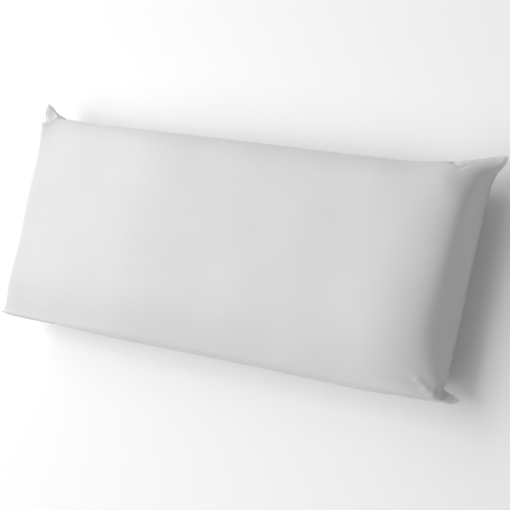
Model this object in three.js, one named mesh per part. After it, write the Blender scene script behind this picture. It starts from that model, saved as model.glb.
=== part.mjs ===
// Memory foam pillow in a plain white cover, lying on its back.
// Millimetres, +Z up. X runs along the pillow, Y across it, towards its upper long side.
// The cover is two panels sewn together all round, so every section is two faces that
// meet in one knife-edge seam. Each corner of the panels stands out as a sewn ear.
import * as THREE from "three";
import { mergeVertices } from "three/addons/utils/BufferGeometryUtils.js";

// Height of the crown above the seam plane, and of the seam plane above the flat rest.
const CROWN_HEIGHT = 80;
const REST_DEPTH = 62;
// Width of the band in which the underside turns from its rounded edge to its flat rest.
const REST_BLEND = 10;

// The four ears, by the place of the tip from the middle of the seam plane. lift raises
// the tip, and neck is how far the short end's seam nips in beside the ear. endSweep and
// sideSweep are how far the seam sweeps back from the tip along the short end and along
// the long side. endLobe and sideLobe are how late it does so: 2 gives a hollow horn, 4 a
// full lobe. round is the radius of the tip. pinch is how far in from the tip the two
// faces part to their full depth, and plump how soon: the less, the fuller the ear. The
// bulge of the lower seam fades out over slack, next to the ear.
const EARS = {
  upperLeft: {
    x: -453, y: 200, lift: -2, neck: 0, pinch: 51, plump: 4, round: 3,
    endSweep: 62, endLobe: 2, sideSweep: 32, sideLobe: 1.8,
  },
  upperRight: {
    x: 455, y: 204, lift: 5, neck: 0, pinch: 115, plump: 0.7, round: 7,
    endSweep: 38, endLobe: 1.8, sideSweep: 64, sideLobe: 1.8,
  },
  lowerRight: {
    x: 447, y: -203, lift: -6, neck: 4, pinch: 33, plump: 4, round: 12,
    endSweep: 16, endLobe: 3.4, sideSweep: 60, sideLobe: 2, slack: 160,
  },
  lowerLeft: {
    x: -450, y: -199, lift: -2, neck: 0, pinch: 22, plump: 1.3, round: 2,
    endSweep: 8, endLobe: 2, sideSweep: 16, sideLobe: 2, slack: 70,
  },
};

// Distance of a neck from its ear's tip, and the stretch of seam that it takes.
const NECK_DISTANCE = 19;
const NECK_STRETCH = 4;

// The four seams, each from its lower or left ear to its upper or right one. A seam is
// drawn in from the line between its two ear tips by inset towards its first ear and by
// farInset towards its second. wallAngle is the slope at which a face leaves the seam, in
// degrees, at the first ear, and farWallAngle at the second. Over reach in from the seam the crown falls by fall at the first ear and by
// farFall at the second. curve is how late that fall comes, and ease how softly it
// begins. Along the lower seam the upper face also stands out past the seam, by bulge.
const SEAMS = {
  left: {
    inset: 15, farInset: 28, wallAngle: 81, farWallAngle: 81,
    fall: 31, farFall: 37, reach: 265, curve: 1, ease: 32,
  },
  right: {
    inset: 22, farInset: 23, wallAngle: 64, farWallAngle: 78,
    fall: 44, farFall: 35, reach: 174, curve: 4.1, ease: 18,
  },
  upper: {
    inset: 28, farInset: 28, wallAngle: 84, farWallAngle: 84,
    fall: 31, farFall: 58, reach: 64, curve: 3.8, ease: 88,
  },
  lower: {
    inset: -3, farInset: -6, wallAngle: 87, farWallAngle: 87, bulge: 9,
    fall: 42, farFall: 46, reach: 92, curve: 1.65, ease: 43,
  },
};
// The stretch in from the seam over which the bulge fades out.
const BULGE_REACH = 64;
// Least height of the crown, in the corners where two falls meet, and how softly the
// crown turns to it.
const LEAST_CROWN = 12;
const LEAST_BLEND = 10;
// How tightly a face turns over its rounded edge: higher is tighter.
const EDGE_TIGHTNESS = 6;
// The underside is held flat by the surface below, so it has a share of the falls, no
// bulge, one wall angle all round and a softer edge.
const UNDERSIDE_FALL = 0.45;
const UNDERSIDE_WALL_ANGLE = 64;
const UNDERSIDE_TIGHTNESS = 4;
// Share of the full depth that is left right at an ear's tip.
const EAR_THINNESS = 0.05;

// Grid lines over each face, counted from the middle to an edge, and how much closer
// they lie at the edge.
const COLUMNS_EACH_WAY = 30;
const ROWS_EACH_WAY = 17;
const EDGE_CROWDING = 2;

const COVER_COLOUR = 0xe9e9e9;
const COVER_ROUGHNESS = 0.85;

const between = THREE.MathUtils.lerp;
const radians = THREE.MathUtils.degToRad;

// Share of the sweep that is left at a distance from an ear's tip: 1 at the tip, then 0.
// run is "end" along a short end and "side" along a long side.
function sweepLeft(distance, ear, run) {
  return Math.exp(-((distance / ear[`${run}Sweep`]) ** ear[`${run}Lobe`]));
}

// Place across a seam, at a share along it from its first ear to its second.
function seamPlace(share, length, first, second, across, run, seam, outward) {
  const along = share * length;
  const atFirst = sweepLeft(along, first, run);
  const atSecond = sweepLeft(length - along, second, run);
  const inset = between(seam.inset, seam.farInset, share);
  const drawnIn = inset * (1 - Math.max(atFirst, atSecond));
  return between(first[across], second[across], share) - outward * drawnIn;
}

// How far a short end's seam nips in at a distance from an ear's tip.
function nippedIn(distance, ear) {
  return ear.neck * Math.exp(-(((distance - NECK_DISTANCE) / NECK_STRETCH) ** 2));
}

// The panel's two directions run from -1 to 1, and these give the seams' places there.
function endSeamX(v, outward) {
  const seam = outward > 0 ? SEAMS.right : SEAMS.left;
  const low = outward > 0 ? EARS.lowerRight : EARS.lowerLeft;
  const high = outward > 0 ? EARS.upperRight : EARS.upperLeft;
  const share = (v + 1) / 2;
  const length = high.y - low.y;
  const necks = nippedIn(share * length, low) + nippedIn((1 - share) * length, high);
  return seamPlace(share, length, low, high, "x", "end", seam, outward) - outward * necks;
}

function sideSeamY(u, outward) {
  const seam = outward > 0 ? SEAMS.upper : SEAMS.lower;
  const low = outward > 0 ? EARS.upperLeft : EARS.lowerLeft;
  const high = outward > 0 ? EARS.upperRight : EARS.lowerRight;
  return seamPlace((u + 1) / 2, high.x - low.x, low, high, "y", "side", seam, outward);
}

// Rounds the tips of the ears: near a tip, the panel's square corner is drawn in to a
// quarter of a circle.
function roundedTips(x, y, inward) {
  const place = { x, y };
  for (const ear of Object.values(EARS)) {
    const toEnd = ear.x > 0 ? inward.right : inward.left;
    const toSide = ear.y > 0 ? inward.upper : inward.lower;
    const s = THREE.MathUtils.clamp(1 - toEnd / ear.round, 0, 1);
    const t = THREE.MathUtils.clamp(1 - toSide / ear.round, 0, 1);
    place.x += Math.sign(ear.x) * ear.round * s * (Math.sqrt(1 - t ** 2 / 2) - 1);
    place.y += Math.sign(ear.y) * ear.round * t * (Math.sqrt(1 - s ** 2 / 2) - 1);
  }
  return place;
}

// How far the crowned face has fallen at a distance in from a seam, and a share along it.
function fallTowards(seam, distance, along) {
  const fall = between(seam.fall, seam.farFall, along);
  const softly = (length) => (length + Math.hypot(length, seam.ease)) / 2;
  return fall * (softly(seam.reach - distance) / softly(seam.reach)) ** seam.curve;
}

// Depth of a face over a point of the panel, before its ears are pinched, and the height
// of its crown there. inward is how far in the point lies from each seam.
function bodyDepth(inward, side) {
  const fallShare = side > 0 ? 1 : UNDERSIDE_FALL;
  const tightness = side > 0 ? EDGE_TIGHTNESS : UNDERSIDE_TIGHTNESS;
  const along = {
    end: inward.lower / (inward.lower + inward.upper),
    side: inward.left / (inward.left + inward.right),
  };
  let crown = CROWN_HEIGHT;
  let sum = 0;
  for (const [name, seam] of Object.entries(SEAMS)) {
    const share = name === "left" || name === "right" ? along.end : along.side;
    crown -= fallShare * fallTowards(seam, inward[name], share);
    const upperAngle = between(seam.wallAngle, seam.farWallAngle, share);
    const wallAngle = side > 0 ? upperAngle : UNDERSIDE_WALL_ANGLE;
    sum += (inward[name] * Math.tan(radians(wallAngle))) ** -tightness;
  }
  const spare = crown - LEAST_CROWN;
  crown = LEAST_CROWN + (spare + Math.hypot(spare, LEAST_BLEND)) / 2;
  const atSeam = Math.min(...Object.values(inward)) <= 0;
  const depth = atSeam ? 0 : (sum + crown ** -tightness) ** (-1 / tightness);
  return { depth, crown };
}

// How far the upper face stands out past the lower seam, at a share of its crown's height.
function stoodOut(inward, rise) {
  const { bulge } = SEAMS.lower;
  const nearSeam = THREE.MathUtils.smoothstep(1 - inward.lower / BULGE_REACH, 0, 1);
  const pastLeft = THREE.MathUtils.smoothstep(inward.left, 0, EARS.lowerLeft.slack);
  const pastRight = THREE.MathUtils.smoothstep(inward.right, 0, EARS.lowerRight.slack);
  return bulge * nearSeam * pastLeft * pastRight * Math.sin(Math.PI * Math.min(rise, 1));
}

// How far the two faces have parted at a point, and how high the nearest ear lifts it.
function earEffect(x, y) {
  let parted = 1;
  let lift = 0;
  for (const ear of Object.values(EARS)) {
    const share = Math.hypot(x - ear.x, y - ear.y) / ear.pinch;
    if (share >= 1) continue;
    const opened = THREE.MathUtils.smoothstep(share ** ear.plump, 0, 1);
    parted = between(EAR_THINNESS, 1, opened);
    lift = ear.lift * (1 - share) ** 2;
  }
  return { parted, lift };
}

// The lesser of two depths, turning smoothly from one to the other over a blend, and
// exactly flat past it.
function flattened(depth) {
  const overlap = Math.max(REST_BLEND - Math.abs(depth - REST_DEPTH), 0) / REST_BLEND;
  return Math.min(depth, REST_DEPTH) - (overlap ** 2 * REST_BLEND) / 4;
}

// A point of a face, at u and v on its panel. side is 1 for the upper face.
function facePoint(u, v, side) {
  const left = endSeamX(v, -1);
  const right = endSeamX(v, 1);
  const lower = sideSeamY(u, -1);
  const upper = sideSeamY(u, 1);
  const across = between(left, right, (u + 1) / 2);
  const up = between(lower, upper, (v + 1) / 2);
  const inward = {
    left: across - left,
    right: right - across,
    lower: up - lower,
    upper: upper - up,
  };
  const { x, y } = roundedTips(across, up, inward);
  const { parted, lift } = earEffect(x, y);
  const { depth, crown } = bodyDepth(inward, side);
  const outward = side > 0 ? stoodOut(inward, depth / crown) : 0;
  const z = side > 0 ? parted * depth : -flattened(parted * depth);
  return new THREE.Vector3(x, y - outward, z + lift);
}

// Grid lines from -1 to 1, closer together towards both ends.
function gridLines(eachWay) {
  const half = [];
  for (let i = 0; i <= eachWay; i += 1) half.push(1 - (1 - i / eachWay) ** EDGE_CROWDING);
  const mirrored = half.slice(1).reverse();
  return [...mirrored.map((t) => -t), ...half];
}

function pillowGeometry() {
  const us = gridLines(COLUMNS_EACH_WAY);
  const vs = gridLines(ROWS_EACH_WAY);
  const positions = [];
  const addTriangle = (a, b, c) => {
    for (const p of [a, b, c]) positions.push(p.x, p.y, p.z);
  };
  for (const side of [1, -1]) {
    const grid = us.map((u) => vs.map((v) => facePoint(u, v, side)));
    for (let i = 0; i + 1 < us.length; i += 1) {
      for (let j = 0; j + 1 < vs.length; j += 1) {
        const [a, b] = [grid[i][j], grid[i + 1][j]];
        const [c, d] = [grid[i + 1][j + 1], grid[i][j + 1]];
        if (side > 0) {
          addTriangle(a, b, c);
          addTriangle(a, c, d);
        } else {
          addTriangle(a, c, b);
          addTriangle(a, d, c);
        }
      }
    }
  }
  const geometry = new THREE.BufferGeometry();
  geometry.setAttribute("position", new THREE.Float32BufferAttribute(positions, 3));
  // The pillow stands in the middle of its own box, with its flat rest at zero height.
  geometry.computeBoundingBox();
  const { min, max } = geometry.boundingBox;
  geometry.translate(-(min.x + max.x) / 2, -(min.y + max.y) / 2, -min.z);
  return mergeVertices(geometry, 1e-3);
}

const cover = new THREE.MeshStandardMaterial({
  color: COVER_COLOUR,
  roughness: COVER_ROUGHNESS,
  metalness: 0,
});
const pillow = new THREE.Mesh(pillowGeometry(), cover);
pillow.name = "pillow";

const group = new THREE.Group();
group.add(pillow);

export default group;
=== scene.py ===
import math

import bmesh
import bpy
import numpy as np
from mathutils import Euler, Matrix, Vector


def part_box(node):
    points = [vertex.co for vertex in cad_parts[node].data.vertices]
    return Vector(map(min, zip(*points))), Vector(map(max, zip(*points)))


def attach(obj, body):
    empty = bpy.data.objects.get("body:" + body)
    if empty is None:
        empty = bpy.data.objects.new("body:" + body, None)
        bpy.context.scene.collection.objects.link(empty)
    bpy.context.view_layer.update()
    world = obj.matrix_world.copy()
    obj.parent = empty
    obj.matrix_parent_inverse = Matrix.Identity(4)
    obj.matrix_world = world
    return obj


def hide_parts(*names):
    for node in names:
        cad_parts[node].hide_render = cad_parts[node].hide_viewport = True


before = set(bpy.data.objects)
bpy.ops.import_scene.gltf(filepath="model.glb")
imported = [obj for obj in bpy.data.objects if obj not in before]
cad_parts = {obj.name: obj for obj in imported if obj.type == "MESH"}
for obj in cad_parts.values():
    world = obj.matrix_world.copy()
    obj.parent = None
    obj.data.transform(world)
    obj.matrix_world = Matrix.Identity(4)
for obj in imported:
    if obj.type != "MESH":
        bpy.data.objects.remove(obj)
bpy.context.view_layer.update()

MM = 0.001

# Driving sizes of the pillow, in millimetres, the same as those of its solid.
CROWN_HEIGHT = 80
REST_DEPTH = 62
REST_BLEND = 10
EARS = {
    "upper_left": {
        "x": -453, "y": 200, "lift": -2, "neck": 0, "pinch": 51, "plump": 4,
        "end_sweep": 62, "end_lobe": 2, "side_sweep": 32, "side_lobe": 1.8, "round": 3,
    },
    "upper_right": {
        "x": 455, "y": 204, "lift": 5, "neck": 0, "pinch": 115, "plump": 0.7,
        "end_sweep": 38, "end_lobe": 1.8, "side_sweep": 64, "side_lobe": 1.8, "round": 7,
    },
    "lower_right": {
        "x": 447, "y": -203, "lift": -6, "neck": 4, "pinch": 33, "plump": 4,
        "end_sweep": 16, "end_lobe": 3.4, "side_sweep": 60, "side_lobe": 2, "round": 12,
        "slack": 160,
    },
    "lower_left": {
        "x": -450, "y": -199, "lift": -2, "neck": 0, "pinch": 22, "plump": 1.3,
        "end_sweep": 8, "end_lobe": 2, "side_sweep": 16, "side_lobe": 2, "round": 2,
        "slack": 70,
    },
}
NECK_DISTANCE = 19
NECK_STRETCH = 4
SEAMS = {
    "left": {
        "inset": 15, "far_inset": 28, "wall": 81, "far_wall": 81,
        "fall": 31, "far_fall": 37, "reach": 265, "curve": 1, "ease": 32,
    },
    "right": {
        "inset": 22, "far_inset": 23, "wall": 64, "far_wall": 78,
        "fall": 44, "far_fall": 35, "reach": 174, "curve": 4.1, "ease": 18,
    },
    "upper": {
        "inset": 28, "far_inset": 28, "wall": 84, "far_wall": 84,
        "fall": 31, "far_fall": 58, "reach": 64, "curve": 3.8, "ease": 88,
    },
    "lower": {
        "inset": -3, "far_inset": -6, "wall": 87, "far_wall": 87, "bulge": 9,
        "fall": 42, "far_fall": 46, "reach": 92, "curve": 1.65, "ease": 43,
    },
}
# The stretch over which a bulge fades, in from its seam and along it from the ears.
BULGE_REACH = 64
LEAST_CROWN = 12
LEAST_BLEND = 10
EDGE_TIGHTNESS = 6
UNDERSIDE_FALL = 0.45
UNDERSIDE_WALL = 64
UNDERSIDE_TIGHTNESS = 4
EAR_THINNESS = 0.05
# The share of an ear's pinch at which its folds have died out, and over which they do.
EAR_END = 1.25
EAR_FADE = 0.6

# The sewn edge: a narrow lip of pressed cloth stands out along the seam.
LIP_WIDTH = 2.2
LIP_THICKNESS = 1.4
# How far the lip hangs down along the right-hand end.
LIP_DROOP = 0.7
# Edge points of the two panels closer than this are sewn into one.
SEWN_WITHIN = 0.02

# Grid lines of a panel. The lip takes the first few, at these distances from the edge,
# and the rest lie closer together within a stretch of the edge.
LIP_LINES = [0, 0.7, 1.5, 2.2, 3.6]
LINE_SAMPLES = 4001
CLOTH_SAMPLES = 2001
COLUMNS = 160
ROWS = 77
CROWDED_STRETCH = 110
CROWDING = 1.6

# Settling as cloth: the frames it takes, and the most that a point may move.
SETTLING_FRAMES = 12
SETTLING_PRESSURE = 1.5
SETTLING_CAP = 5
# How much shorter than its cloth the sewing is, and how far in from the edge it draws.
SEWING_SHRINK = 0.025
SEWN_STRETCH = 12
# How firmly the shape is held at the seam and past a stretch in from it, and near an ear's
# tip, where the hold is full and halves over a distance.
HELD_AT_SEAM = 0.68
HELD_INSIDE = 0.92
FREE_STRETCH = 45
EAR_HOLD = 70
# Points lower than this rest on the floor, and stay there.
RESTING_HEIGHT = 0.5
WEIGHT_STEPS = 40

# Puckers that the sewing gathers: their distance apart, depth, width and length inward,
# all along the cloth, and how far they lean. Inward they widen to double over their spread.
# They start a little in from the edge, are shallower below, and draw in the seam itself.
PUCKER_GAPS = (9, 27)
PUCKER_DEPTHS = (0.3, 1.1)
PUCKER_WIDTHS = (2.5, 4.5)
PUCKER_LENGTHS = (7, 26)
PUCKER_LEAN = 0.4
PUCKER_SPREAD = 25
PUCKER_START = 1
PUCKER_BLEND = 5
UNDERSIDE_PUCKER = 0.7
SCALLOP = 1.6
SCALLOP_REACH = 6
SEEDS = {"left": 11, "right": 12, "upper": 13, "lower": 14}

# Soft unevenness of the filled cover: a few long waves, which grow in from the edge.
UNEVEN_HEIGHT = 0.22
UNEVEN_START = 30
UNEVEN_LENGTHS = (70, 210)
UNEVEN_WAVES = 9
UNEVEN_SEED = 5

# The height over the floor at which puckers, folds and waves have their full depth.
FULL_FORM_HEIGHT = 12

# Folds at the ears: a line of plan points, then its half width and its height there,
# negative for a valley. A fold has a share of that height at its ends, and grows over a
# run of its length. Flap folds lift or drop both faces, and face folds only swell or dent
# the upper one, from a little inside the edge.
FOLD_END_SHARE = 0.35
FOLD_END_RUN = 0.25
FACE_FOLD_START = 0.5
FACE_FOLD_BLEND = 3
FLAP_FOLDS = [
    # Upper left: the ear leans, with its outer edge turned up.
    ([(-462, 215), (-448, 100)], 24, 12),
    # Lower right: a deep fold across the ear beside the body, and the drooping tip.
    ([(415, -197), (424, -191), (434, -189), (444, -192)], 7.5, -7.5),
    ([(442, -188), (450, -205)], 12, -7),
]
FACE_FOLDS = [
    # Upper left: the crease where the ear leaves the shoulder.
    ([(-447, 163), (-436, 164.5), (-427, 169), (-420, 176)], 4, -4),
    ([(-410, 169), (-417, 179)], 2.5, 2),
    # Upper right: the ridge of the ear, a dent in the upper edge and a crease below it.
    ([(440, 196), (426, 180), (414, 164), (402, 142)], 14, 1.5),
    ([(369, 173), (380, 173)], 4.5, -3.5),
    ([(380, 168), (390, 162), (400, 169)], 2.5, -1.5),
    # Lower right: the rolled end of the body, and a pull that runs into it.
    ([(418, -188), (416, -194), (417, -201)], 5, 2.5),
    ([(382, -172), (398, -184), (410, -195)], 6, 2),
]
# Tucks at the ears: a plan point, the radius round it, and how far the cloth is drawn.
TUCKS = [
    ((-455, 196), 20, (4, 0)),
    ((425, -184), 7, (-5, 1)),
    ((442, -192), 9, (2, 3)),
    ((438, 165), 20, (-3, 0)),
]
# Pulls, given like the tucks, where a side is drawn in more or less than evenly.
PULLS = [
    ((-436, 152), 20, (3, 1)),
    ((-420, -75), 75, (8, 0)),
    ((-375, 168), 35, (0, 3)),
    ((375, 172), 60, (0, 4.5)),
    ((70, -200), 320, (0, 3.5)),
]

# Cloth, in millimetres. The threads of a cotton satin lie about 0.2 mm apart, too fine to
# show, so they are drawn four times as coarse.
THREAD_PITCH = 0.8
FLOAT_SHARE = 0.65
SLUB_WIDTH = 1.6
SLUB_LENGTH = 9
RIPPLE_LENGTH = 26
STITCH_PITCH = 3.2
STITCHED_STRETCH = 4.5
TONE_LENGTH = 60
SHEEN_LENGTH = 3
COVER_ROUGHNESS = (0.68, 0.8)
PAPER_GRAIN = 2
# Relief drawn by bump: its height in millimetres, and its strength.
THREAD_RELIEF = (0.06, 0.5)
SLUB_RELIEF = (0.1, 0.35)
RIPPLE_RELIEF = (0.5, 0.12)
STITCH_RELIEF = (0.12, 0.2)
PAPER_RELIEF = (0.05, 0.3)
COVER_LIGHTER = "e1e1e1"
COVER_DARKER = "dddddd"
FLOOR_COLOUR = "fcfcfc"
FLOOR_HALF_WIDTH = 20

# Photograph's view of the pillow, in the part's frame.
CAMERA_PLACE = (1.2020, -0.2845, 2.2930)
CAMERA_TURN = (12.291, 25.460, 13.693)
FOCAL_PIXELS = 1480
PHOTO_PIXELS = 510
SENSOR_WIDTH = 36

# Studio: large square soft lights round the pillow, by the direction they come from, how
# high they stand in degrees, and their power in watts. The white surround fills in.
LIGHTS = {
    "left": (180, 55, 82),
    "left_low": (120, 12, 20),
    "front_left": (240, 55, 65),
    "back_left": (150, 32, 69),
}
LIGHT_DISTANCE = 4.5
LIGHT_SIZE = 3
LIGHTS_AIM = (0, 0, 0.08)
SURROUND = 0.233


# Form of the cover

def between(a, b, share):
    return a + (b - a) * share


def eased(share):
    """0 to 1 with a soft start and end."""
    share = np.clip(share, 0, 1)
    return share * share * (3 - 2 * share)


def sweep_left(distance, ear, run):
    """Share of an ear's sweep that is left at a distance from its tip along a seam."""
    return np.exp(-((distance / ear[run + "_sweep"]) ** ear[run + "_lobe"]))


def seam_place(share, length, first, second, across, run, seam, outward):
    """Place across a seam, at a share along it from its first ear to its second."""
    along = np.clip(share, 0, 1) * length
    at_first = sweep_left(along, first, run)
    at_second = sweep_left(length - along, second, run)
    inset = between(seam["inset"], seam["far_inset"], share)
    drawn_in = inset * (1 - np.maximum(at_first, at_second))
    return between(first[across], second[across], share) - outward * drawn_in


def nipped_in(distance, ear):
    return ear["neck"] * np.exp(-(((distance - NECK_DISTANCE) / NECK_STRETCH) ** 2))


def end_seam_x(v, outward):
    side = "right" if outward > 0 else "left"
    low = EARS["lower_" + side]
    high = EARS["upper_" + side]
    share = (v + 1) / 2
    length = high["y"] - low["y"]
    necks = nipped_in(share * length, low) + nipped_in((1 - share) * length, high)
    place = seam_place(share, length, low, high, "x", "end", SEAMS[side], outward)
    return place - outward * necks


def side_seam_y(u, outward):
    side = "upper" if outward > 0 else "lower"
    low = EARS[side + "_left"]
    high = EARS[side + "_right"]
    share = (u + 1) / 2
    length = high["x"] - low["x"]
    return seam_place(share, length, low, high, "y", "side", SEAMS[side], outward)


def panel_plan(u, v):
    """Place of panel points in plan, and how far each lies in from the four seams."""
    left = end_seam_x(v, -1)
    right = end_seam_x(v, 1)
    lower = side_seam_y(u, -1)
    upper = side_seam_y(u, 1)
    x = between(left, right, (u + 1) / 2)
    y = between(lower, upper, (v + 1) / 2)
    inward = {"left": x - left, "right": right - x, "lower": y - lower, "upper": upper - y}
    for name, ear in EARS.items():
        side, end = name.split("_")
        s = np.clip(1 - inward[end] / ear["round"], 0, 1)
        t = np.clip(1 - inward[side] / ear["round"], 0, 1)
        reach_x = math.copysign(ear["round"], ear["x"])
        reach_y = math.copysign(ear["round"], ear["y"])
        x = x + reach_x * s * (np.sqrt(1 - t * t / 2) - 1)
        y = y + reach_y * t * (np.sqrt(1 - s * s / 2) - 1)
    return x, y, inward


def fall_left(seam, distance):
    """Share of a seam's fall that is left at a distance in from it."""
    short = seam["reach"] - distance
    soft = (short + np.hypot(short, seam["ease"])) / 2
    whole = (seam["reach"] + math.hypot(seam["reach"], seam["ease"])) / 2
    return (soft / whole) ** seam["curve"]


def body_depth(inward, side):
    """Depth of a face over its panel points before its ears are pinched, and its crown."""
    fall_share = 1 if side > 0 else UNDERSIDE_FALL
    tightness = EDGE_TIGHTNESS if side > 0 else UNDERSIDE_TIGHTNESS
    along_end = inward["lower"] / (inward["lower"] + inward["upper"])
    along_side = inward["left"] / (inward["left"] + inward["right"])
    crown = np.full_like(along_end, CROWN_HEIGHT)
    total = np.zeros_like(along_end)
    least = np.full_like(along_end, np.inf)
    for name, seam in SEAMS.items():
        along = along_end if name in ("left", "right") else along_side
        distance = np.maximum(inward[name] - LIP_WIDTH, 0)
        fall = between(seam["fall"], seam["far_fall"], along)
        crown -= fall_share * fall * fall_left(seam, distance)
        angle = between(seam["wall"], seam["far_wall"], along) if side > 0 else UNDERSIDE_WALL
        wall = np.maximum(distance, 1e-3) * np.tan(np.radians(angle))
        total += wall ** -tightness
        least = np.minimum(least, distance)
    spare = crown - LEAST_CROWN
    crown = LEAST_CROWN + (spare + np.hypot(spare, LEAST_BLEND)) / 2
    total += crown ** -tightness
    return np.where(least > 0, total ** (-1 / tightness), 0), crown


def stood_out(inward, rise):
    """How far the upper face stands out past the lower seam, at a share of its crown."""
    bulge = SEAMS["lower"]["bulge"] * eased(1 - inward["lower"] / BULGE_REACH)
    for end in ("left", "right"):
        bulge = bulge * eased(inward[end] / EARS["lower_" + end]["slack"])
    return bulge * np.sin(math.pi * np.clip(rise, 0, 1))


def ear_effect(x, y):
    """How far the faces have parted near the ears, and how high the ears lift them."""
    parted = np.ones_like(x)
    lift = np.zeros_like(x)
    for ear in EARS.values():
        share = np.hypot(x - ear["x"], y - ear["y"]) / ear["pinch"]
        near = share < 1
        opened = between(EAR_THINNESS, 1, eased(share ** ear["plump"]))
        parted = np.where(near, opened, parted)
        lift = np.where(near, ear["lift"] * (1 - np.minimum(share, 1)) ** 2, lift)
    return parted, lift


def on_an_ear(x, y):
    """1 on the ears, and 0 a little way in on the body."""
    share = np.full_like(x, np.inf)
    for ear in EARS.values():
        share = np.minimum(share, np.hypot(x - ear["x"], y - ear["y"]) / ear["pinch"])
    return eased((EAR_END - share) / EAR_FADE)


def flattened(depth):
    """Depth of the underside, which turns over a blend to its exactly flat rest."""
    overlap = np.maximum(REST_BLEND - np.abs(depth - REST_DEPTH), 0) / REST_BLEND
    return np.minimum(depth, REST_DEPTH) - overlap**2 * REST_BLEND / 4


def face_points(u, v, side):
    """Points of a face in millimetres. side is 1 for the upper face and -1 below."""
    x, y, inward = panel_plan(u, v)
    parted, lift = ear_effect(x, y)
    depth, crown = body_depth(inward, side)
    if side > 0:
        y = y - stood_out(inward, depth / crown)
    depth = parted * depth
    from_edge = np.minimum.reduce(list(inward.values()))
    lip = LIP_THICKNESS / 2 * np.sqrt(np.clip(from_edge / LIP_THICKNESS * 2, 0, 1))
    depth = depth + lip
    z = depth if side > 0 else -flattened(depth)
    droop = LIP_DROOP * eased(1 - inward["right"] / LIP_WIDTH)
    return np.stack([x, y, z + lift - droop], axis=1)


# Panels

def lines_along(count, half_length, section):
    """Panel lines from -1 to 1: a few for the lip at each end, then close, then wider."""
    edge = [distance / half_length for distance in LIP_LINES]
    fine = np.linspace(-1 + edge[-1], 1 - edge[-1], LINE_SAMPLES)
    steps = np.linalg.norm(np.diff(section(fine), axis=0), axis=1)
    from_end = (1 - np.abs(fine[1:])) * half_length
    steps = steps * (1 + CROWDING * eased(1 - from_end / CROWDED_STRETCH))
    walked = np.concatenate([[0], np.cumsum(steps)])
    inner_count = count - 2 * (len(edge) - 1)
    inner = np.interp(np.linspace(0, walked[-1], inner_count + 1), walked, fine)
    lip = np.array(edge[:-1])
    return np.concatenate([-1 + lip, inner, (1 - lip)[::-1]])


def add_panel(bm, side, marks):
    """One panel of the cover: a grid, moved to its place on the upper or lower face."""
    half_x = (EARS["upper_right"]["x"] - EARS["upper_left"]["x"]) / 2
    half_y = (EARS["upper_left"]["y"] - EARS["lower_left"]["y"]) / 2
    # Both panels have the lines of the upper one, so that their edges meet in the seam.
    us = lines_along(COLUMNS, half_x, lambda t: face_points(t, 0 * t, 1))
    vs = lines_along(ROWS, half_y, lambda t: face_points(0 * t, t, 1))
    made = bmesh.ops.create_grid(bm, x_segments=COLUMNS, y_segments=ROWS, size=1)["verts"]
    column = [round((vert.co.x + 1) / 2 * COLUMNS) for vert in made]
    row = [round((vert.co.y + 1) / 2 * ROWS) for vert in made]
    u = us[column]
    v = vs[row]
    points = face_points(u, v, side) * MM
    edge = (np.abs(u) > 1 - 1e-9) | (np.abs(v) > 1 - 1e-9)
    for vert, place, at_u, at_v, on_edge in zip(made, points, u, v, edge):
        vert.co = place
        vert[marks["u"]] = at_u
        vert[marks["v"]] = at_v
        vert[marks["side"]] = 0 if on_edge else side


def sewn_cover():
    """Both panels, sewn together all round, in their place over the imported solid."""
    bm = bmesh.new()
    marks = {name: bm.verts.layers.float.new("panel_" + name) for name in ("u", "v", "side")}
    add_panel(bm, 1, marks)
    add_panel(bm, -1, marks)
    bmesh.ops.remove_doubles(bm, verts=bm.verts, dist=SEWN_WITHIN * MM)
    bmesh.ops.recalc_face_normals(bm, faces=bm.faces)
    low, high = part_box("pillow")
    across = (low[0] + high[0]) / 2
    up_the_photo = high[1] - EARS["upper_right"]["y"] * MM
    bmesh.ops.translate(bm, verts=bm.verts, vec=(across, up_the_photo, low[2] + REST_DEPTH * MM))
    mesh = bpy.data.meshes.new("pillow_cover")
    bm.to_mesh(mesh)
    bm.free()
    cover = bpy.data.objects.new("pillow_cover", mesh)
    bpy.context.scene.collection.objects.link(cover)
    return cover


def read_points(mesh):
    flat = np.empty(len(mesh.vertices) * 3)
    mesh.vertices.foreach_get("co", flat)
    return flat.reshape(-1, 3)


def write_points(mesh, points):
    mesh.vertices.foreach_set("co", points.ravel())
    mesh.update()


def read_mark(mesh, name):
    values = np.empty(len(mesh.vertices))
    mesh.attributes["panel_" + name].data.foreach_get("value", values)
    return values


def evaluated_copy(cover):
    """The cover's mesh as its modifiers leave it."""
    graph = bpy.context.evaluated_depsgraph_get()
    return bpy.data.meshes.new_from_object(cover.evaluated_get(graph))


# Settling as cloth

def add_group(cover, name, weights):
    group = cover.vertex_groups.new(name=name)
    levels = np.round(np.clip(weights, 0, 1) * WEIGHT_STEPS).astype(int)
    for level in np.unique(levels):
        members = np.nonzero(levels == level)[0].tolist()
        group.add(members, level / WEIGHT_STEPS, "REPLACE")
    return group


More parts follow.
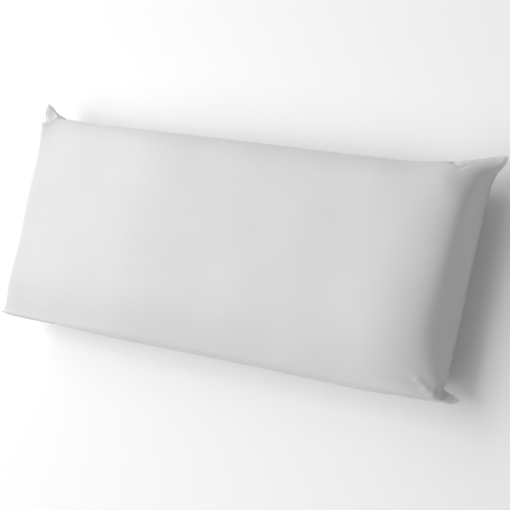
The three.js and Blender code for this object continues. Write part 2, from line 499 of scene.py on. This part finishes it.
def settle(cover):
    """Lets the filled cover settle as cloth: the sewing draws in, and its puckers form."""
    start = read_points(cover.data)
    u, v, side = (read_mark(cover.data, name) for name in ("u", "v", "side"))
    x, y, inward = panel_plan(u, v)
    from_edge = np.minimum.reduce(list(inward.values()))
    held = between(HELD_AT_SEAM, HELD_INSIDE, eased(from_edge / FREE_STRETCH))
    for ear in EARS.values():
        from_tip = np.hypot(x - ear["x"], y - ear["y"])
        held = np.maximum(held, between(1, 0.5, from_tip / EAR_HOLD))
    held = np.where(start[:, 2] < RESTING_HEIGHT * MM, 1, held)
    hold = add_group(cover, "held", held)
    shrink = add_group(cover, "sewing", eased(1 - from_edge / SEWN_STRETCH))
    cloth = cover.modifiers.new("cloth", "CLOTH")
    cloth.point_cache.frame_start = 1
    cloth.point_cache.frame_end = SETTLING_FRAMES
    settings = cloth.settings
    settings.quality = 6
    settings.mass = 0.2
    settings.tension_stiffness = 20
    settings.compression_stiffness = 20
    settings.shear_stiffness = 8
    settings.bending_stiffness = 0.3
    settings.use_pressure = True
    settings.uniform_pressure_force = SETTLING_PRESSURE
    settings.vertex_group_mass = hold.name
    settings.pin_stiffness = 1
    settings.vertex_group_shrink = shrink.name
    settings.shrink_min = 0
    settings.shrink_max = SEWING_SHRINK
    settings.effector_weights.gravity = 0
    cloth.collision_settings.use_collision = False
    for frame_number in range(1, SETTLING_FRAMES + 1):
        bpy.context.scene.frame_set(frame_number)
    settled = read_points(evaluated_copy(cover))
    cover.modifiers.remove(cloth)
    cover.vertex_groups.clear()
    bpy.context.scene.frame_set(1)
    moved = settled - start
    far = np.linalg.norm(moved, axis=1, keepdims=True)
    most = SETTLING_CAP * MM
    moved *= most * np.tanh(far / most) / np.maximum(far, 1e-9)
    write_points(cover.data, start + moved)


# Puckers and folds

def walked_along(section):
    """Panel places from -1 to 1, and the cloth walked to each from -1, in millimetres."""
    places = np.linspace(-1, 1, CLOTH_SAMPLES)
    steps = np.linalg.norm(np.diff(section(places), axis=0), axis=1)
    return places, np.concatenate([[0], np.cumsum(steps)])


def cloth_places(u, v, side):
    """Places of panel points on their cloth, and how far each lies in from the seams."""
    across = walked_along(lambda t: face_points(t, 0 * t, side))
    along = walked_along(lambda t: face_points(0 * t, t, side))
    x = np.interp(u, *across)
    y = np.interp(v, *along)
    inward = {"left": x, "right": across[1][-1] - x, "lower": y, "upper": along[1][-1] - y}
    return x, y, inward


def pucker_row(name, length):
    """Places along a seam, depths, widths, lengths and leans of its puckers."""
    chance = np.random.default_rng(SEEDS[name])
    places = np.cumsum(chance.uniform(*PUCKER_GAPS, int(length / PUCKER_GAPS[0])))
    places = places[places < length]
    count = len(places)
    return zip(
        places,
        chance.uniform(*PUCKER_DEPTHS, count),
        chance.uniform(*PUCKER_WIDTHS, count),
        chance.uniform(*PUCKER_LENGTHS, count),
        chance.uniform(-PUCKER_LEAN, PUCKER_LEAN, count),
    )


def puckers(x, y, inward):
    """Depth of the gathers over the points, and how far each seam is drawn in by them."""
    dent = np.zeros_like(x)
    drawn = {}
    for name in SEAMS:
        along_x = name in ("upper", "lower")
        low_ear = EARS[name + "_left"] if along_x else EARS["lower_" + name]
        high_ear = EARS[name + "_right"] if along_x else EARS["upper_" + name]
        axis = "x" if along_x else "y"
        along = (x if along_x else y) - low_ear[axis]
        distance = inward[name]
        drawn[name] = np.zeros_like(x)
        for place, depth, width, length, lean in pucker_row(name, high_ear[axis] - low_ear[axis]):
            off = along - place - lean * distance
            widened = width * (1 + distance / PUCKER_SPREAD)
            shape = depth * np.exp(-((off / widened) ** 2))
            begun = eased((distance - PUCKER_START) / PUCKER_BLEND)
            dent += shape * np.exp(-((distance / length) ** 2)) * begun
            drawn[name] += SCALLOP * shape * np.exp(-((distance / SCALLOP_REACH) ** 2))
    return dent, drawn


def unevenness(x, y):
    chance = np.random.default_rng(UNEVEN_SEED)
    height = np.zeros_like(x)
    for turn, length, start in zip(
        chance.uniform(0, math.pi, UNEVEN_WAVES),
        chance.uniform(*UNEVEN_LENGTHS, UNEVEN_WAVES),
        chance.uniform(0, 2 * math.pi, UNEVEN_WAVES),
    ):
        walked = x * math.cos(turn) + y * math.sin(turn)
        height += UNEVEN_HEIGHT * np.sin(walked / length * 2 * math.pi + start)
    return height


def near_line(x, y, line):
    """Distance of plan points from a line of points, and the share along it."""
    nearest = np.full_like(x, np.inf)
    share_there = np.zeros_like(x)
    steps = [math.dist(a, b) for a, b in zip(line, line[1:])]
    walked = 0
    for (ax, ay), (bx, by), step in zip(line, line[1:], steps):
        share = np.clip(((x - ax) * (bx - ax) + (y - ay) * (by - ay)) / step**2, 0, 1)
        distance = np.hypot(x - ax - share * (bx - ax), y - ay - share * (by - ay))
        closer = distance < nearest
        nearest = np.where(closer, distance, nearest)
        share_there = np.where(closer, (walked + share * step) / sum(steps), share_there)
        walked += step
    return nearest, share_there


def folds(x, y, lines):
    """Height of the folds over plan points."""
    height = np.zeros_like(x)
    for line, width, rise in lines:
        distance, share = near_line(x, y, line)
        ends = between(FOLD_END_SHARE, 1, eased(np.minimum(share, 1 - share) / FOLD_END_RUN))
        height += rise * ends * np.exp(-((distance / width) ** 2))
    return height


def add_fine_form(cover):
    """Moves the points of the finer mesh to the cover's puckers, folds and unevenness."""
    mesh = cover.data
    points = read_points(mesh)
    normals = np.empty(len(mesh.vertices) * 3)
    mesh.vertices.foreach_get("normal", normals)
    normals = normals.reshape(-1, 3)
    u, v, side = (read_mark(mesh, name) for name in ("u", "v", "side"))
    x, y, inward = panel_plan(u, v)
    from_edge = np.minimum.reduce(list(inward.values()))
    upper = side > 0
    on_upper = cloth_places(u, v, 1)[2]
    on_lower = cloth_places(u, v, -1)[2]
    on_cloth = {name: np.where(upper, on_upper[name], on_lower[name]) for name in SEAMS}
    dent, drawn = puckers(x, y, on_cloth)
    above_rest = eased(points[:, 2] / (FULL_FORM_HEIGHT * MM))
    waves = unevenness(x, y) * eased(from_edge / UNEVEN_START)
    face_folds = folds(x, y, FACE_FOLDS) * eased((from_edge - FACE_FOLD_START) / FACE_FOLD_BLEND)
    height = np.where(upper, waves - dent + face_folds, -UNDERSIDE_PUCKER * dent)
    height *= above_rest
    points += normals * height[:, None] * MM
    points[:, 0] += (drawn["left"] - drawn["right"]) * above_rest * MM
    points[:, 1] += (drawn["lower"] - drawn["upper"]) * above_rest * MM
    points[:, 2] += folds(x, y, FLAP_FOLDS) * on_an_ear(x, y) * above_rest * MM
    for (place_x, place_y), radius, drawn_by in TUCKS + PULLS:
        share = np.exp(-(((x - place_x) ** 2 + (y - place_y) ** 2) / radius**2))
        points[:, :2] += share[:, None] * np.array(drawn_by) * MM
    points[:, 2] = np.maximum(points[:, 2], 0)
    write_points(mesh, points)


# Materials

def linear(colour):
    """A colour written as sRGB hex, turned linear."""
    shares = [int(colour[i : i + 2], 16) / 255 for i in (0, 2, 4)]
    return [c / 12.92 if c <= 0.04045 else ((c + 0.055) / 1.055) ** 2.4 for c in shares] + [1]


def add_node(tree, kind, sockets, **settings):
    """Adds a node with its settings, and a value or a link for each socket named."""
    node = tree.nodes.new(kind)
    for name, value in settings.items():
        setattr(node, name, value)
    for name, value in sockets.items():
        if isinstance(value, bpy.types.NodeSocket):
            tree.links.new(value, node.inputs[name])
        else:
            node.inputs[name].default_value = value
    return node


def new_material(name):
    material = bpy.data.materials.new(name)
    material.use_nodes = True
    return material, material.node_tree, material.node_tree.nodes["Principled BSDF"]


def bands(tree, cloth, direction, pitch):
    """Even bands across the cloth, a pitch in millimetres apart."""
    # Radians that the wave turns by over one unit, along an axis or on the diagonal.
    turns = 10 if direction == "DIAGONAL" else 20
    scale = 2 * math.pi / (turns * pitch * MM)
    wave = add_node(
        tree, "ShaderNodeTexWave", {"Vector": cloth, "Scale": scale}, bands_direction=direction
    )
    return wave.outputs["Fac"]


def noise(tree, cloth, length, stretch=1, detail=2):
    """Soft noise on the cloth, of a length in millimetres across and stretched along it."""
    sized = (1 / (length * MM), 1 / (length * stretch * MM), 1)
    mapped = add_node(tree, "ShaderNodeMapping", {"Vector": cloth, "Scale": sized})
    made = add_node(
        tree,
        "ShaderNodeTexNoise",
        {"Vector": mapped.outputs["Vector"], "Scale": 1, "Detail": detail},
    )
    return made.outputs["Fac"]


def raised(tree, height, relief, below=None):
    """Bump of a relief, given as its height in millimetres and its strength."""
    sockets = {"Height": height, "Distance": relief[0] * MM, "Strength": relief[1]}
    if below is not None:
        sockets["Normal"] = below
    return add_node(tree, "ShaderNodeBump", sockets).outputs["Normal"]


def product(tree, a, b):
    return add_node(tree, "ShaderNodeMath", {0: a, 1: b}, operation="MULTIPLY").outputs[0]


def remapped(tree, value, start, end, low, high):
    """A value that runs from start to end, turned to run from low to high."""
    sockets = {"Value": value, "From Min": start, "From Max": end, "To Min": low, "To Max": high}
    return add_node(tree, "ShaderNodeMapRange", sockets).outputs["Result"]


def cotton_satin():
    """Close-woven white cotton satin: nearly matt, with a faint sheen at grazing angles."""
    material, tree, shader = new_material("cover_cotton_satin")
    cloth = add_node(tree, "ShaderNodeUVMap", {}, uv_map="cloth").outputs["UV"]
    from_seam = add_node(
        tree, "ShaderNodeAttribute", {}, attribute_name="from_seam"
    ).outputs["Fac"]
    # The threads cross, and the long floats of the satin run along the pillow.
    across = bands(tree, cloth, "X", THREAD_PITCH)
    along = bands(tree, cloth, "Y", THREAD_PITCH)
    weave = add_node(tree, "ShaderNodeMix", {"Factor": FLOAT_SHARE, "A": across, "B": along})
    threads = raised(tree, weave.outputs["Result"], THREAD_RELIEF)
    uneven_threads = noise(tree, cloth, SLUB_WIDTH, SLUB_LENGTH / SLUB_WIDTH)
    slubs = raised(tree, uneven_threads, SLUB_RELIEF, threads)
    # Soft ripple of the cloth, which keeps broad areas from looking moulded.
    ripple = raised(tree, noise(tree, cloth, RIPPLE_LENGTH), RIPPLE_RELIEF, slubs)
    # Dimples that the stitches of the seam draw in the cloth beside it.
    near_seam = remapped(tree, from_seam, 0, STITCHED_STRETCH * MM, 1, 0)
    stitches = product(tree, bands(tree, cloth, "DIAGONAL", STITCH_PITCH), near_seam)
    normal = raised(tree, stitches, STITCH_RELIEF, ripple)
    # The faintest clouding of the white, as woven cloth has.
    clouds = noise(tree, cloth, TONE_LENGTH)
    tone = add_node(
        tree,
        "ShaderNodeMix",
        {"Factor": clouds, "A": linear(COVER_DARKER), "B": linear(COVER_LIGHTER)},
        data_type="RGBA",
    )
    rough = remapped(tree, noise(tree, cloth, SHEEN_LENGTH), 0.3, 0.7, *COVER_ROUGHNESS)
    tree.links.new(normal, shader.inputs["Normal"])
    tree.links.new(tone.outputs[2], shader.inputs["Base Color"])
    tree.links.new(rough, shader.inputs["Roughness"])
    shader.inputs["Specular IOR Level"].default_value = 0.4
    shader.inputs["Sheen Weight"].default_value = 0.06
    shader.inputs["Sheen Roughness"].default_value = 0.4
    return material


def pale_paper():
    """Plain matt studio paper: one even pale tone, with the faintest grain."""
    material, tree, shader = new_material("floor_paper")
    place = add_node(tree, "ShaderNodeTexCoord", {}).outputs["Object"]
    grain = raised(tree, noise(tree, place, PAPER_GRAIN), PAPER_RELIEF)
    tree.links.new(grain, shader.inputs["Normal"])
    shader.inputs["Base Color"].default_value = linear(FLOOR_COLOUR)
    shader.inputs["Roughness"].default_value = 0.9
    shader.inputs["Specular IOR Level"].default_value = 0.2
    return material


def lay_cloth(mesh):
    """Marks how far each point lies from the seam, and maps the panels' cloth in metres."""
    u, v, side = (read_mark(mesh, name) for name in ("u", "v", "side"))
    from_edge = np.minimum.reduce(list(panel_plan(u, v)[2].values()))
    mark = mesh.attributes.new("from_seam", "FLOAT", "POINT")
    mark.data.foreach_set("value", from_edge * MM)
    corners = np.empty(len(mesh.loops), dtype=np.int32)
    mesh.loops.foreach_get("vertex_index", corners)
    upper = np.repeat(side[corners].reshape(-1, 4).mean(axis=1) > 0, 4)
    cloth = np.empty((len(corners), 2))
    for face, chosen in ((1, upper), (-1, ~upper)):
        x, y = cloth_places(u[corners[chosen]], v[corners[chosen]], face)[:2]
        cloth[chosen] = np.stack([x, y], axis=1) * MM
    mesh.uv_layers.new(name="cloth").data.foreach_set("uv", cloth.ravel())


# Whole pieces

def subdivided(cover):
    finer = cover.modifiers.new("finer", "SUBSURF")
    finer.levels = 1
    finer.render_levels = 1
    cover.data = evaluated_copy(cover)
    cover.modifiers.clear()


def filled_pillow():
    """The cover on its filling, as one soft piece."""
    cover = sewn_cover()
    settle(cover)
    subdivided(cover)
    add_fine_form(cover)
    lay_cloth(cover.data)
    cover.data.polygons.foreach_set("use_smooth", [True] * len(cover.data.polygons))
    cover.data.materials.append(cotton_satin())
    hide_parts("pillow")
    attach(cover, "root")


def studio_floor():
    bm = bmesh.new()
    bmesh.ops.create_grid(bm, x_segments=1, y_segments=1, size=FLOOR_HALF_WIDTH)
    mesh = bpy.data.meshes.new("floor")
    bm.to_mesh(mesh)
    bm.free()
    floor = bpy.data.objects.new("floor", mesh)
    bpy.context.scene.collection.objects.link(floor)
    mesh.materials.append(pale_paper())


def photo_camera():
    data = bpy.data.cameras.new("camera")
    data.sensor_width = SENSOR_WIDTH
    data.lens = FOCAL_PIXELS / PHOTO_PIXELS * SENSOR_WIDTH
    camera = bpy.data.objects.new("camera", data)
    bpy.context.scene.collection.objects.link(camera)
    camera.location = CAMERA_PLACE
    camera.rotation_euler = Euler([math.radians(a) for a in CAMERA_TURN])
    bpy.context.scene.camera = camera


def soft_light(name, turn, rise, power):
    """A square soft light that faces the pillow."""
    data = bpy.data.lights.new(name, "AREA")
    data.size = LIGHT_SIZE
    data.energy = power
    lamp = bpy.data.objects.new(name, data)
    bpy.context.scene.collection.objects.link(lamp)
    turn = math.radians(turn)
    rise = math.radians(rise)
    flat = math.cos(rise)
    towards = Vector((math.cos(turn) * flat, math.sin(turn) * flat, math.sin(rise)))
    lamp.location = LIGHT_DISTANCE * towards
    facing = Vector(LIGHTS_AIM) - lamp.location
    lamp.rotation_euler = facing.to_track_quat("-Z", "Y").to_euler()


def studio_light():
    for name, settings in LIGHTS.items():
        soft_light(name, *settings)
    world = bpy.data.worlds.new("studio")
    world.use_nodes = True
    background = world.node_tree.nodes["Background"]
    background.inputs["Color"].default_value = (1, 1, 1, 1)
    background.inputs["Strength"].default_value = SURROUND
    bpy.context.scene.world = world
    bpy.context.scene.view_settings.view_transform = "Standard"


filled_pillow()
studio_floor()
photo_camera()
studio_light()
